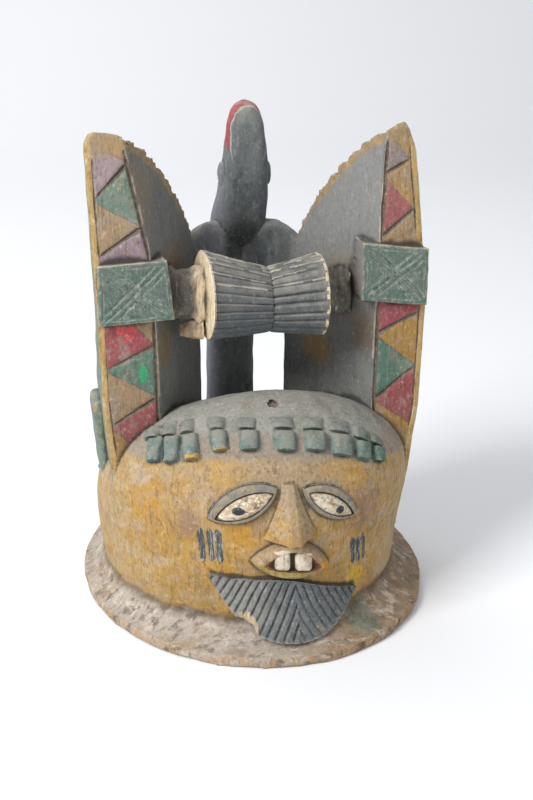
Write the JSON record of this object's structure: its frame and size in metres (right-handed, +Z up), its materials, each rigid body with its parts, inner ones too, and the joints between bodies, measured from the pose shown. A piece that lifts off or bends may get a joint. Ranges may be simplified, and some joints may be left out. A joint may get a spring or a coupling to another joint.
{
  "type": "helmet mask",
  "caption": "Carved and painted wooden helmet mask: a hollow head on a flared rim, a relief face, tall ears, a fluted drum between them and a bird on a post behind.",
  "frame": {"origin": "middle of the rim's footprint, on the surface that it stands on", "axes": "+Z up, the face looks along -Y, +X towards the viewer's right"},
  "size_m": [0.288, 0.352, 0.398],
  "materials": {
    "painted_wood": "hand-painted in ochre, blue-grey, red and green, worn and dusty"
  },
  "bodies": {
    "root": {"helmet_mask": "painted_wood"}
  },
  "joints": []
}
